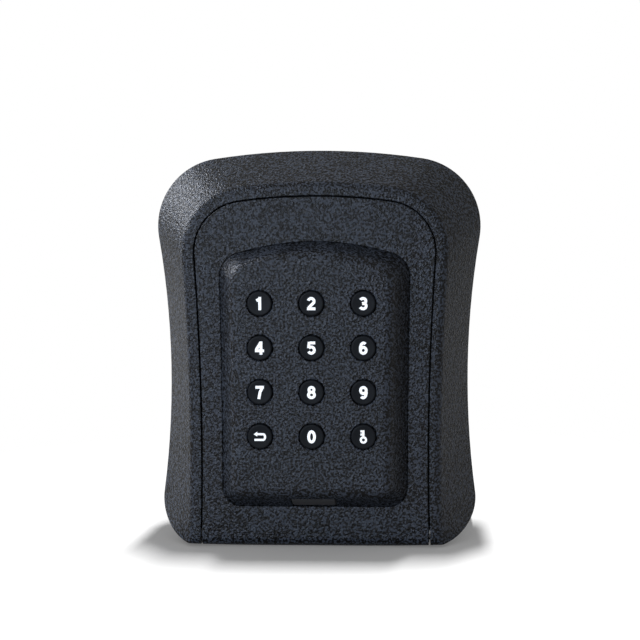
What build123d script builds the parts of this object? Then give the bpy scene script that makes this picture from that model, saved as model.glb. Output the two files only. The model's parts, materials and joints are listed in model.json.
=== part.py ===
from build123d import *

import os
from collections import namedtuple
from math import acos, cos, pi, radians, sin, tan

# Electronic key safe: a cast wall box with a drop-down keypad door and a motor-driven bolt.
# Millimetres. X runs right, Y runs into the wall and Z runs up, from the centre of the back face.
# Depths are measured forward from the back face, so a depth d is the plane y = -d.

# Box outline, seen from the front
box_height = 120.0
waist_half = 46.1
waist_height = -10.0
side_radius = 263.0
crown_radius = 215.0
base_radius = 850.0
shoulder_radius = 21.0
foot_radius = 12.0

# Box depths and walls
rim_depth = 26.0
front_depth = 38.0
back_wall = 2.6
side_wall = 2.8
bevel_wall = 3.6
bottom_edge_radius = 3.0

# Door opening and the ledge behind the door
opening_waist_half = 34.03
opening_waist_height = -33.0
opening_side_radius = 850.0
opening_top = 45.0
opening_crown_radius = 165.0
opening_shoulder_radius = 15.5
land = 2.8
top_land = 3.3
crest_radius = 2.8
seam_gap = 0.5
ledge_inset = 3.0
ledge_thickness = 2.7
plate_thickness = 3.4
plate_seat_gap = 0.4
run_out = 18.0

# Door seal in the ledge
groove_inset = 0.8
groove_width = 1.4
groove_depth = 1.3
seal_proud = 0.1
seal_side_gap = 0.05
seal_rise = 11.0

# Hinge along the bottom edge
hinge_inset = 3.8
pin_radius = 1.5
pin_length = 75.0
pin_fit = 0.01
pin_chamfer = 0.4
hinge_fit = 0.05
knuckle_radius = 3.0
knuckle_gap = 0.15
relief_gap = 0.4
boss_radius = 3.6
boss_end = 41.0

# Keypad fascia
keypad_depth = 46.0
fascia_waist_half = 27.5
fascia_waist_height = -40.0
fascia_side_radius = 2400.0
fascia_top = 31.2
fascia_crown_radius = 78.0
fascia_rise = 12.5
fascia_shoulder_radius = 7.0
fascia_foot_radius = 5.5
slope_side = 4.9
slope_top = 3.9
slope_bottom = 5.0
face_crown_radius = 66.0
face_shoulder_radius = 6.0
face_foot_radius = 4.0
fascia_edge_radius = 3.8
fascia_wall = 2.2
face_thickness = 2.0
window_gap = 0.15
flange_side = 1.8
flange_end = 3.4
flange_thickness = 1.2

# Keys
column_pitch = 14.95
row_pitch = 12.8
keypad_centre = -6.2
key_columns = 3
key_rows = 4
key_radius = 3.55
key_hole_radius = 3.75
key_hole_chamfer = 0.25
key_proud = 0.35
key_edge_radius = 0.4
key_dish_radius = 3.0
key_dish_depth = 0.12
key_collar_radius = 4.5
key_collar_thickness = 0.9
key_collar_gap = 0.2
key_travel = 0.8
key_stem_radius = 2.0
key_end_gap = 0.05

# Rubber mat and circuit board
mat_thickness = 1.8
mat_gap = 0.3
mat_hole_gap = 0.2
mat_edge = 1.15
mat_foot_edge = 0.5
board_thickness = 1.6
board_edge = 1.4
board_rise = 6.5
board_corner_radius = 3.0
post_radius = 2.1
chip_height = 1.3
chip_places = ((-13.0, -1.0), (9.0, -12.0), (-12.0, -27.0), (12.0, -29.0))
chip_sizes = ((7.0, 7.0), (5.0, 6.0), (4.0, 8.0), (6.0, 3.0))
buzzer_place = (-13.75, 12.5)
buzzer_radius = 4.5
buzzer_height = 3.0
buzzer_edge_radius = 0.4
buzzer_hole_radius = 0.8
buzzer_hole_depth = 1.0
plug_place = (16.5, 12.0)
plug_size = 4.8
plug_height = 3.2

# Emergency power socket and its hinged cover
socket_width = 9.0
socket_thickness = 3.2
socket_length = 6.2
socket_corner_radius = 1.45
socket_wall = 0.3
socket_inset = 4.3
socket_gap = 0.15
tongue_width = 6.0
tongue_thickness = 0.6
cover_length = 13.0
cover_width = 5.0
cover_thickness = 1.2
cover_start = 0.9
cover_gap = 0.2
cover_corner_radius = 0.8
cover_chamfer = 0.3
cover_pin_radius = 0.35
cover_pin_length = 0.8
cover_pin_fit = 0.05
recess_start = -1.0

# Door liner with the battery bay
liner_depth = 21.2
liner_wall = 1.2
liner_side_gap = 0.6
liner_top_gap = 1.1
liner_rise = 7.9
liner_foot_radius = 5.0
liner_edge_radius = 0.8
liner_front_gap = 0.2
boss_fit = 0.1
door_boss_radius = 2.4
liner_screw_top_column = 24.5
liner_screw_top_drop = 11.5
liner_screw_foot_column = 26.6
liner_screw_foot_rise = 5.1
cell_radius = 5.25
cell_length = 44.5
cell_nub_radius = 1.9
cell_nub_height = 1.0
cell_gap = 0.6
cell_count = 4
cell_wall_gap = 0.25
bay_wall = 1.1
bay_floor_wall = 0.7
bay_rise = 4.3
contact_thickness = 0.4
contact_edge = 0.5
spring_height = 3.0
spring_radius = 2.6
spring_wire = 0.5
spring_turns = 3
hatch_seat = 1.8
hatch_rise = 4.7
hatch_gap = 0.2
hatch_seat_gap = 0.1
hatch_corner_radius = 1.2
hatch_screw_rise = 2.8
hatch_grips = 3
hatch_grip_length = 12.0
hatch_grip_width = 0.9

# Bolt, rack and pinion
bolt_width = 12.0
bolt_back = 26.2
bolt_thickness = 3.6
bolt_length = 7.9
bolt_top_gap = 6.1
bolt_travel = 5.8
bolt_tip_chamfer = 0.8
bolt_lead_in = 1.6
bolt_gap = 0.1
gear_module = 0.5
gear_teeth = 14
gear_addendum = 0.8
gear_dedendum = 1.0
gear_pressure = 20.0
gear_thinning = 0.04
pinion_drop = 7.0
pinion_depth = 28.3
pinion_left = -5.5
pinion_width = 3.0
flank_steps = 4
shaft_radius = 1.0
shaft_fit = 0.05
shaft_bearing = 2.0
tail_width = 4.0
tail_thickness = 0.9
tail_shoulder = 1.2
tail_overrun = 2.0
tail_gap = 0.2
rack_teeth = 7
rack_teeth_above = 2

# Gear motor and the chassis that carries the lock
motor_thickness = 8.0
motor_height = 10.0
gearbox_left = -0.9
gearbox_length = 9.0
gearbox_end_plate = 1.5
gearbox_core_inset = 0.5
can_length = 12.0
pocket_gap = 0.15
pocket_front_wall = 0.7
lead_room = 2.4
chassis_wall = 1.05
chassis_left = -10.9
chassis_right = 25.1
chassis_back = 23.9
chassis_top_gap = 6.1
chassis_half_width = 13.0
ear_half_width = 20.4
ear_height = 5.0
lock_screw_columns = (9.6, 18.0)
lock_screw_drop = 9.4
strap_width = 6.0
strap_thickness = 0.5
strap_corner_radius = 1.0
strap_gap = 0.1
strap_rise = 2.2
strap_screw_inset = 1.6
lead_radius = 0.45
lead_bend = 0.58
lead_pitch = 2.4
lead_steps = (1.9, 0.8)

# Strike, key hook and wall fixing
strike_half_width = 12.0
strike_thickness = 1.4
strike_height = 5.0
strike_offset = 0.4
strike_corner_radius = 1.1
strike_screw_column = 8.5
strike_screw_rise = 3.2
hook_drop = 11.0
hook_plate_width = 16.0
hook_plate_height = 12.0
hook_plate_radius = 2.0
hook_thickness = 1.5
hook_width = 6.0
hook_reach = 13.0
hook_lip = 5.0
hook_bend_radius = 2.0
hook_screw_column = 5.0
wall_hole_radius = 2.75
wall_hole_columns = 48.0
wall_hole_rows = 60.0
wall_pad_radius = 6.5
wall_pad_height = 1.2

# Screws
screw_radius = 1.0
screw_head_radius = 1.7
screw_head_height = 1.1
screw_hole_gap = 0.1
screw_recess_length = 2.0
screw_recess_width = 0.5
screw_recess_depth = 0.6
small_screw_radius = 0.8
fascia_screw_column = 14.0
fascia_screw_rise = 0.85
fascia_screw_drop = 1.5
fascia_screw_length = 2.4
board_screw_length = 1.6
liner_screw_length = 8.0
lock_screw_bite = 2.6
strap_screw_length = 3.5
strike_screw_bite = 2.6
hook_screw_bite = 1.6
hatch_screw_length = 5.0

# Values worked out from the driving dimensions
plate_back = front_depth - plate_thickness
ledge_front = plate_back - plate_seat_gap
ledge_back = ledge_front - ledge_thickness
flange_back = plate_back - flange_thickness
face_back = keypad_depth - face_thickness
pin_depth = front_depth - hinge_inset
pin_height = hinge_inset - box_height / 2
relief_radius = hinge_inset * 2**0.5 - bottom_edge_radius * (2**0.5 - 1) + relief_gap
knuckle_reach = pin_height + knuckle_radius - opening_waist_height
knuckle_half = opening_waist_half + knuckle_reach**2 / (2 * opening_side_radius) - knuckle_gap
face_share = (face_back - front_depth) / (keypad_depth - front_depth)
seal_foot = seal_rise - box_height / 2
fascia_bottom = fascia_rise - box_height / 2
liner_bottom = liner_rise - box_height / 2
mat_front = face_back - mat_gap
mat_back = mat_front - mat_thickness
mat_half_width = column_pitch * (key_columns - 1) / 2 + key_collar_radius + mat_edge
keypad_half_height = row_pitch * (key_rows - 1) / 2 + key_collar_radius
mat_top = keypad_centre + keypad_half_height + mat_edge
mat_bottom = keypad_centre - keypad_half_height - mat_foot_edge
board_front = mat_back - mat_gap
board_back = board_front - board_thickness
board_middle = board_back + board_thickness / 2
board_half_width = mat_half_width + board_edge
board_top = mat_top + board_edge
board_bottom = fascia_bottom + board_rise
plug_back = board_back - plug_height
key_front = keypad_depth + key_proud
key_collar_front = face_back - key_collar_gap
key_stem_back = board_front + key_travel + key_end_gap
dish_ball_radius = (key_dish_radius**2 + key_dish_depth**2) / (2 * key_dish_depth)
socket_back = board_middle - socket_thickness / 2
socket_front = board_middle + socket_thickness / 2
socket_mouth = fascia_bottom + socket_inset
cover_pivot = cover_start + cover_width - cover_thickness / 2
liner_inside = liner_depth + liner_wall
cell_pitch = 2 * cell_radius + cell_gap
cell_depth = liner_inside + cell_wall_gap + cell_radius
bay_half_width = cell_pitch * (cell_count - 1) / 2 + cell_radius + cell_wall_gap
bay_bottom = fascia_bottom + bay_rise
bay_top = bay_bottom + cell_length + spring_height + 2 * contact_thickness
bay_floor = cell_depth + cell_radius + cell_wall_gap
hatch_half_width = bay_half_width + hatch_seat
hatch_bottom = bay_bottom - hatch_seat
hatch_top = bay_top + hatch_rise
pitch_radius = gear_module * gear_teeth / 2
rack_pitch_line = pinion_depth + pitch_radius
rack_root = rack_pitch_line + gear_dedendum * gear_module
bolt_top = opening_top - bolt_top_gap
bolt_bottom = bolt_top - bolt_length
bolt_front = bolt_back + bolt_thickness
pinion_height = bolt_bottom - pinion_drop
tail_front = rack_root + tail_thickness
tail_left = pinion_left - (tail_width - pinion_width) / 2
tail_bottom = pinion_height - bolt_travel - tail_overrun
tail_step = bolt_bottom + tail_shoulder
chassis_front = tail_front
chassis_bottom = pinion_height - motor_height / 2 - pocket_gap - chassis_wall
chassis_shoulder = pinion_height + motor_height / 2 + pocket_gap + chassis_wall
chassis_top = opening_top - chassis_top_gap
bolt_guide_back = bolt_back - bolt_gap - chassis_wall
bolt_guide_front = bolt_front + bolt_gap + chassis_wall
ear_back = bolt_guide_front - 2 * chassis_wall
lock_screw_height = opening_top - lock_screw_drop
strap_height = pinion_height + strap_rise
can_left = gearbox_left + gearbox_length
motor_right = can_left + can_length
strike_front = ledge_back
strike_back = strike_front - strike_thickness
strike_bottom = opening_top - ledge_inset + strike_offset
strike_screw_height = strike_bottom + strike_screw_rise
hook_front = back_wall + hook_thickness
hook_height = opening_top - hook_drop
post_x = column_pitch / 2
post_z = row_pitch

Outline = namedtuple("Outline", "waist waist_z side top crown bottom base shoulder foot")


def grown(shape, by, top=None, bottom=None):
    """The outline moved outward by a distance, with its own distances at the top and the bottom."""
    up = by if top is None else top
    down = by if bottom is None else bottom
    return shape._replace(
        waist=shape.waist + by,
        side=shape.side - by,
        top=shape.top + up,
        crown=shape.crown + up,
        bottom=shape.bottom - down,
        base=shape.base + down if shape.base else 0,
        shoulder=shape.shoulder + by,
        foot=shape.foot + by if shape.foot else 0,
    )


def blended(first, second, share):
    """An outline part of the way from one outline to another."""
    return Outline(*(a + (b - a) * share for a, b in zip(first, second)))


def waisted(depth, shape):
    """A crowned outline with hollow sides, drawn on the plane at a depth."""
    with BuildSketch(Plane.XZ.offset(depth)) as outline:
        with Locations((0, shape.top - shape.crown)):
            Circle(shape.crown)
        if shape.base:
            with Locations((0, shape.bottom + shape.base)):
                Circle(shape.base, mode=Mode.INTERSECT)
        else:
            with Locations((0, shape.bottom)):
                Rectangle(
                    4 * shape.waist, 2 * box_height, align=(Align.CENTER, Align.MIN), mode=Mode.INTERSECT
                )
        with Locations((0, shape.waist_z)):
            with PolarLocations(shape.waist + shape.side, 2):
                Circle(shape.side, mode=Mode.SUBTRACT)
        fillet(outline.vertices().group_by(Axis.Y)[-1], shape.shoulder)
        if shape.foot:
            fillet(outline.vertices().group_by(Axis.Y)[0], shape.foot)
    return outline.sketch


def box_between(low, high, mode=Mode.ADD):
    """A block between two corners, each given as x, depth and z."""
    with BuildSketch(Plane.XZ.offset(low[1])) as side:
        with Locations(((low[0] + high[0]) / 2, (low[2] + high[2]) / 2)):
            Rectangle(high[0] - low[0], high[2] - low[2])
    extrude(side.sketch, amount=high[1] - low[1], mode=mode)


def discs(depth, length, radius, points, mode=Mode.ADD):
    """Round bars or holes that run forward from a depth."""
    with BuildSketch(Plane.XZ.offset(depth)) as ends:
        with Locations(*points):
            Circle(radius)
    extrude(ends.sketch, amount=length, mode=mode)


def crossbar(left, length, radius, mode=Mode.ADD, depth=None, height=None):
    """A round bar or bore that runs right from a given x, on the hinge line unless told otherwise."""
    with BuildSketch(Plane.YZ.offset(left)) as end:
        with Locations((-(pin_depth if depth is None else depth), pin_height if height is None else height)):
            Circle(radius)
    extrude(end.sketch, amount=length, mode=mode)


def screws(points, seat, length, radius=screw_radius, forward=True):
    """Pan-head screws with a cross recess, driven along the depth from the face that the head sits on."""
    way = 1 if forward else -1
    size = radius / screw_radius
    head_height = screw_head_height * size
    with BuildPart() as fasteners:
        discs(seat, way * length, radius, points)
        discs(seat, -way * head_height, screw_head_radius * size, points)
        with BuildSketch(Plane.XZ.offset(seat - way * head_height)) as recess:
            with Locations(*points):
                Rectangle(screw_recess_length * size, screw_recess_width * size)
                Rectangle(screw_recess_width * size, screw_recess_length * size)
        extrude(recess.sketch, amount=way * screw_recess_depth * size, mode=Mode.SUBTRACT)
    return fasteners.part


def save(part, name):
    """Label a finished piece and write it."""
    part.label = name
    export_step(part, f"parts/{name}.step")


def mirrored(*points):
    """Each point and its mirror image across the middle."""
    return [(side * x, z) for x, z in points for side in (-1, 1)]


box = Outline(
    waist_half, waist_height, side_radius, box_height / 2, crown_radius,
    -box_height / 2, base_radius, shoulder_radius, foot_radius,
)
opening = Outline(
    opening_waist_half, opening_waist_height, opening_side_radius, opening_top, opening_crown_radius,
    -box_height / 2 - run_out, 0, opening_shoulder_radius, 0,
)
crest = grown(opening, land, top_land, 0)
box_run = box._replace(bottom=crest.bottom, base=0, foot=0)
ledge = grown(opening, -ledge_inset, bottom=0)
door_outline = grown(opening, -seam_gap, bottom=0)
fascia_foot = Outline(
    fascia_waist_half, fascia_waist_height, fascia_side_radius, fascia_top, fascia_crown_radius,
    fascia_bottom, 0, fascia_shoulder_radius, fascia_foot_radius,
)
fascia_face = grown(fascia_foot, -slope_side, -slope_top, -slope_bottom)._replace(
    crown=face_crown_radius, shoulder=face_shoulder_radius, foot=face_foot_radius
)
fascia_flange = grown(fascia_foot, flange_side, flange_end, flange_end)
liner = grown(opening, -ledge_inset - liner_side_gap, -ledge_inset - liner_top_gap)._replace(
    bottom=liner_bottom, foot=liner_foot_radius
)

liner_screw_points = mirrored(
    (liner_screw_top_column, opening_top - liner_screw_top_drop),
    (liner_screw_foot_column, liner_bottom + liner_screw_foot_rise),
)
lock_screw_points = mirrored(*((x, lock_screw_height) for x in lock_screw_columns))
strike_screw_points = mirrored((strike_screw_column, strike_screw_height))
hook_screw_points = mirrored((hook_screw_column, hook_height))
hatch_screw_point = [(0, bay_top + hatch_screw_rise)]
fascia_screw_points = mirrored(
    (fascia_screw_column, fascia_top + fascia_screw_rise),
    (fascia_screw_column, fascia_bottom - fascia_screw_drop),
)
post_points = mirrored((post_x, keypad_centre + post_z), (post_x, keypad_centre - post_z))
wall_hole_points = mirrored(
    (wall_hole_columns / 2, wall_hole_rows / 2), (wall_hole_columns / 2, -wall_hole_rows / 2)
)

os.makedirs("parts", exist_ok=True)

# Outer form that the housing and the door share, so that their faces are flush
with BuildPart() as outer_form:
    extrude(waisted(0, box), amount=rim_depth)
    loft([waisted(rim_depth, box_run), waisted(front_depth, crest)], ruled=True)
    front_edges = outer_form.faces().sort_by(Axis.Y)[0].edges()
    fillet(front_edges.sort_by(Axis.Z)[1:], crest_radius)
    extrude(waisted(0, box), amount=front_depth, mode=Mode.INTERSECT)
    with BuildSketch(Plane.YZ.offset(-box_height)) as side_view:
        with Locations((0, -box_height / 2)):
            Rectangle(front_depth, box_height, align=(Align.MAX, Align.MIN))
        fillet(side_view.vertices().group_by(Axis.X)[0].sort_by(Axis.Y)[0], bottom_edge_radius)
    extrude(amount=2 * box_height, mode=Mode.INTERSECT)

# Space that the hinge barrel turns in
with BuildPart() as hinge_relief:
    crossbar(-box_height / 2, box_height, relief_radius)
    extrude(waisted(0, opening), amount=front_depth, mode=Mode.INTERSECT)


def seal_ring(depth, height, side_gap):
    """The band that runs up both sides of the ledge and across its top."""
    outer = grown(opening, -groove_inset - side_gap)._replace(bottom=seal_foot + side_gap)
    inner = grown(opening, -groove_inset - groove_width + side_gap, bottom=0)
    with BuildPart() as ring:
        extrude(waisted(depth, outer), amount=height)
        extrude(waisted(depth, inner), amount=height, mode=Mode.SUBTRACT)
    return ring.part


groove_floor = ledge_front - groove_depth
seal_groove = seal_ring(groove_floor, groove_depth + plate_seat_gap, 0)

# Housing: back wall, side walls, bevelled rim, ledge and hinge bosses in one casting
cavity = grown(box, -side_wall)
cavity_bend = rim_depth - side_wall / 2
ledge_share = (ledge_back - rim_depth) / (front_depth - rim_depth)
cavity_mouth = grown(blended(box, crest, ledge_share), -bevel_wall)._replace(
    bottom=cavity.bottom, base=cavity.base, foot=cavity.foot - bevel_wall + side_wall
)
with BuildPart() as housing:
    add(outer_form.part)
    extrude(waisted(back_wall, cavity), amount=cavity_bend - back_wall, mode=Mode.SUBTRACT)
    loft([waisted(cavity_bend, cavity), waisted(ledge_back, cavity_mouth)], ruled=True, mode=Mode.SUBTRACT)
    crossbar(opening_waist_half, boss_end - opening_waist_half, boss_radius)
    crossbar(-boss_end, boss_end - opening_waist_half, boss_radius)
    add(outer_form.part, mode=Mode.INTERSECT)
    extrude(waisted(ledge_back, ledge), amount=front_depth, mode=Mode.SUBTRACT)
    extrude(waisted(ledge_front, opening), amount=front_depth, mode=Mode.SUBTRACT)
    add(hinge_relief.part, mode=Mode.SUBTRACT)
    add(seal_groove, mode=Mode.SUBTRACT)
    crossbar(-pin_length / 2 - pin_fit, pin_length + 2 * pin_fit, pin_radius + pin_fit, Mode.SUBTRACT)
    discs(back_wall, wall_pad_height, wall_pad_radius, wall_hole_points)
    discs(0, back_wall + wall_pad_height, wall_hole_radius, wall_hole_points, Mode.SUBTRACT)
    discs(ledge_back, strike_screw_bite, screw_radius, strike_screw_points, Mode.SUBTRACT)
    discs(back_wall, -hook_screw_bite, screw_radius, hook_screw_points, Mode.SUBTRACT)
save(housing.part, "housing")

with BuildPart() as hinge_pin:
    crossbar(-pin_length / 2, pin_length, pin_radius)
    chamfer(hinge_pin.edges().filter_by(GeomType.CIRCLE), pin_chamfer)
save(hinge_pin.part, "hinge_pin")

door_seal = seal_ring(groove_floor, groove_depth + seal_proud, seal_side_gap)
save(door_seal, "door_seal")

# Strike plate behind the ledge, with its two screws
with BuildPart() as strike_plate:
    box_between(
        (-strike_half_width, strike_back, strike_bottom),
        (strike_half_width, strike_front, strike_bottom + strike_height),
    )
    fillet(strike_plate.edges().filter_by(Axis.Y), strike_corner_radius)
    discs(strike_back, strike_thickness, screw_radius + screw_hole_gap, strike_screw_points, Mode.SUBTRACT)
save(strike_plate.part, "strike_plate")
strike_screws = screws(strike_screw_points, strike_back, strike_thickness + strike_screw_bite)
save(strike_screws, "strike_screws")

# Key hook: a plate on the back wall with a strip bent forward and up
with BuildPart() as key_hook:
    box_between(
        (-hook_plate_width / 2, back_wall, hook_height - hook_plate_height / 2),
        (hook_plate_width / 2, hook_front, hook_height + hook_plate_height / 2),
    )
    fillet(key_hook.edges().filter_by(Axis.Y), hook_plate_radius)
    with BuildSketch(Plane.YZ.offset(-hook_width / 2)) as hook_side:
        with BuildLine():
            FilletPolyline(
                (-back_wall, hook_height - hook_plate_height / 2 + hook_thickness / 2),
                (-back_wall - hook_reach, hook_height - hook_plate_height / 2 + hook_thickness / 2),
                (-back_wall - hook_reach, hook_height - hook_plate_height / 2 + hook_lip),
                radius=hook_bend_radius,
            )
            offset(amount=hook_thickness / 2, side=Side.BOTH)
        make_face()
    extrude(amount=hook_width)
    box_between(
        (-hook_width, 0, hook_height - hook_plate_height), (hook_width, back_wall, hook_height), Mode.SUBTRACT
    )
    discs(back_wall, hook_thickness, screw_radius + screw_hole_gap, hook_screw_points, Mode.SUBTRACT)
save(key_hook.part, "key_hook")
hook_screws = screws(hook_screw_points, hook_front, hook_thickness + hook_screw_bite, forward=False)
save(hook_screws, "hook_screws")

# Door frame: front plate, hinge barrel and screw bosses in one casting
with BuildPart() as door_frame:
    extrude(waisted(plate_back, door_outline), amount=plate_thickness)
    crossbar(-box_height / 2, box_height, hinge_inset)
    add(outer_form.part, mode=Mode.INTERSECT)
    extrude(waisted(0, door_outline), amount=front_depth, mode=Mode.INTERSECT)
    extrude(waisted(plate_back, grown(fascia_foot, window_gap)), amount=plate_thickness, mode=Mode.SUBTRACT)
    crossbar(-knuckle_half, 2 * knuckle_half, knuckle_radius)
    discs(plate_back, liner_inside + liner_front_gap - plate_back, door_boss_radius, liner_screw_points)
    discs(plate_back, bolt_guide_front - plate_back, door_boss_radius, lock_screw_points)
    discs(liner_inside, liner_screw_length - liner_wall, screw_radius, liner_screw_points, Mode.SUBTRACT)
    discs(bolt_guide_front, lock_screw_bite, screw_radius, lock_screw_points, Mode.SUBTRACT)
    discs(
        plate_back, fascia_screw_length - flange_thickness, small_screw_radius, fascia_screw_points,
        Mode.SUBTRACT,
    )
    crossbar(-box_height / 2, box_height, pin_radius + hinge_fit, Mode.SUBTRACT)
save(door_frame.part, "door_frame")

# Lower slope of the keypad fascia, and the section of the socket's cover with its pivot near the top
slope = Plane(
    origin=(0, -front_depth, fascia_bottom), x_dir=(1, 0, 0), z_dir=(0, -slope_bottom, front_depth - keypad_depth)
)
section = Plane(origin=slope.origin, x_dir=slope.y_dir, z_dir=(1, 0, 0))
pivot = slope.from_local_coords(Vector(0, cover_pivot, -cover_thickness / 2))
cover_end = cover_length / 2
pin_end = cover_end + cover_pin_length

# Keypad fascia: a hollow raised panel with a flange that the door plate holds
with BuildPart() as fascia:
    extrude(waisted(flange_back, fascia_flange), amount=flange_thickness)
    extrude(waisted(flange_back, fascia_foot), amount=front_depth - flange_back)
    loft([waisted(front_depth, fascia_foot), waisted(keypad_depth, fascia_face)], ruled=True)
    fillet(fascia.faces().sort_by(Axis.Y)[0].edges(), fascia_edge_radius)
    extrude(
        waisted(flange_back, grown(fascia_foot, -fascia_wall)),
        amount=front_depth - flange_back, mode=Mode.SUBTRACT,
    )
    loft(
        [
            waisted(front_depth, grown(fascia_foot, -fascia_wall)),
            waisted(face_back, grown(blended(fascia_foot, fascia_face, face_share), -fascia_wall)),
        ],
        ruled=True, mode=Mode.SUBTRACT,
    )
    with BuildSketch(Plane.XZ.offset(face_back)):
        with Locations((0, keypad_centre)):
            with GridLocations(column_pitch, row_pitch, key_columns, key_rows):
                Circle(key_hole_radius)
    extrude(amount=face_thickness, mode=Mode.SUBTRACT)
    key_rims = fascia.edges().filter_by(GeomType.CIRCLE).filter_by(
        lambda rim: abs(rim.radius - key_hole_radius) < key_hole_chamfer
    )
    chamfer(key_rims.group_by(Axis.Y)[0], key_hole_chamfer)
    discs(board_front, face_back - board_front, post_radius, post_points)
    discs(board_front, board_screw_length, small_screw_radius, post_points, Mode.SUBTRACT)
    with BuildSketch(slope):
        with Locations((0, recess_start)):
            Rectangle(
                cover_length + 2 * cover_gap, cover_start + cover_width + cover_gap - recess_start,
                align=(Align.CENTER, Align.MIN),
            )
    extrude(amount=-cover_thickness, mode=Mode.SUBTRACT)
    crossbar(
        -pin_end - cover_gap, 2 * (pin_end + cover_gap), cover_pin_radius + cover_pin_fit, Mode.SUBTRACT,
        -pivot.Y, pivot.Z,
    )
    box_between(
        (-socket_width / 2 - socket_gap, socket_back - socket_gap, fascia_bottom),
        (socket_width / 2 + socket_gap, socket_front + socket_gap, fascia_bottom + socket_length),
        Mode.SUBTRACT,
    )
    discs(
        flange_back, flange_thickness, door_boss_radius + boss_fit, liner_screw_points + lock_screw_points,
        Mode.SUBTRACT,
    )
    discs(
        flange_back, flange_thickness, small_screw_radius + screw_hole_gap, fascia_screw_points, Mode.SUBTRACT
    )
save(fascia.part, "fascia")
fascia_screws = screws(fascia_screw_points, flange_back, fascia_screw_length, small_screw_radius)
save(fascia_screws, "fascia_screws")

# Cover of the emergency power socket, which swings on two stub pins in the slope below the keys
with BuildPart() as port_cover:
    with BuildSketch(section.offset(-cover_end)):
        with Locations((cover_start, 0)):
            Rectangle(cover_pivot - cover_start, cover_thickness, align=(Align.MIN, Align.MAX))
        with Locations((cover_pivot, -cover_thickness / 2)):
            Circle(cover_thickness / 2)
    extrude(amount=cover_length)
    fillet(port_cover.edges().filter_by(Axis((0, 0, 0), slope.z_dir)), cover_corner_radius)
    chamfer(port_cover.edges().filter_by(Axis.X).sort_by(Axis.Z)[0], cover_chamfer)
    crossbar(-pin_end, 2 * pin_end, cover_pin_radius, Mode.ADD, -pivot.Y, pivot.Z)
save(port_cover.part, "port_cover")

# Keys: a dished round cap with a collar behind the panel and a stem that presses the board
key_names = ("1", "2", "3", "4", "5", "6", "7", "8", "9", "return", "0", "open")
first_column = -column_pitch * (key_columns - 1) / 2
first_row = keypad_centre + row_pitch * (key_rows - 1) / 2
key_points = [
    (first_column + column_pitch * (i % key_columns), first_row - row_pitch * (i // key_columns))
    for i in range(len(key_names))
]
for key_name, key_point in zip(key_names, key_points):
    with BuildPart() as key:
        discs(key_collar_front, key_front - key_collar_front, key_radius, [key_point])
        fillet(key.faces().sort_by(Axis.Y)[0].edges(), key_edge_radius)
        with Locations((key_point[0], key_dish_depth - key_front - dish_ball_radius, key_point[1])):
            Sphere(dish_ball_radius, mode=Mode.SUBTRACT)
        discs(key_collar_front, -key_collar_thickness, key_collar_radius, [key_point])
        discs(key_stem_back, key_collar_front - key_stem_back, key_stem_radius, [key_point])
    save(key.part, f"key_{key_name}")

# Rubber mat that seals and springs the keys
with BuildPart() as keypad_mat:
    box_between((-mat_half_width, mat_back, mat_bottom), (mat_half_width, mat_front, mat_top))
    fillet(keypad_mat.edges().filter_by(Axis.Y), board_corner_radius)
    discs(mat_back, mat_thickness, key_collar_radius + mat_hole_gap, key_points, Mode.SUBTRACT)
    discs(mat_back, mat_thickness, post_radius + mat_hole_gap, post_points, Mode.SUBTRACT)
save(keypad_mat.part, "keypad_mat")

# Circuit board with a notch for the power socket
with BuildPart() as main_board:
    box_between(
        (-board_half_width, board_back, board_bottom), (board_half_width, board_front, board_top)
    )
    fillet(main_board.edges().filter_by(Axis.Y), board_corner_radius)
    box_between(
        (-socket_width / 2 - socket_gap, board_back, fascia_bottom),
        (socket_width / 2 + socket_gap, board_front, fascia_bottom + socket_inset + socket_length + socket_gap),
        Mode.SUBTRACT,
    )
    discs(board_back, board_thickness, small_screw_radius + screw_hole_gap, post_points, Mode.SUBTRACT)
save(main_board.part, "main_board")
board_screws = screws(post_points, board_back, board_thickness + board_screw_length, small_screw_radius)
save(board_screws, "board_screws")

# Power socket: a thin metal shell round a tongue, in the notch of the board
with BuildPart() as power_socket:
    box_between(
        (-socket_width / 2, socket_back, socket_mouth),
        (socket_width / 2, socket_front, socket_mouth + socket_length),
    )
    fillet(power_socket.edges().filter_by(Axis.Z), socket_corner_radius)
    offset(amount=-socket_wall, openings=power_socket.faces().sort_by(Axis.Z)[0])
    box_between(
        (-tongue_width / 2, board_middle - tongue_thickness / 2, socket_mouth + 2 * socket_wall),
        (tongue_width / 2, board_middle + tongue_thickness / 2, socket_mouth + socket_length - socket_wall),
    )
save(power_socket.part, "power_socket")

# Parts on the back of the board: chips, the plug of the motor leads and the buzzer
with BuildPart() as board_chips:
    for chip_place, chip_size in zip(chip_places, chip_sizes):
        with BuildSketch(Plane.XZ.offset(board_back)):
            with Locations(chip_place):
                Rectangle(*chip_size)
        extrude(amount=-chip_height)
save(board_chips.part, "board_chips")

with BuildPart() as motor_plug:
    with BuildSketch(Plane.XZ.offset(board_back)):
        with Locations(plug_place):
            Rectangle(plug_size, plug_size)
    extrude(amount=-plug_height)
save(motor_plug.part, "motor_plug")

with BuildPart() as buzzer:
    discs(board_back, -buzzer_height, buzzer_radius, [buzzer_place])
    fillet(buzzer.faces().sort_by(Axis.Y)[-1].edges(), buzzer_edge_radius)
    discs(board_back - buzzer_height, buzzer_hole_depth, buzzer_hole_radius, [buzzer_place], Mode.SUBTRACT)
save(buzzer.part, "buzzer")

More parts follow.
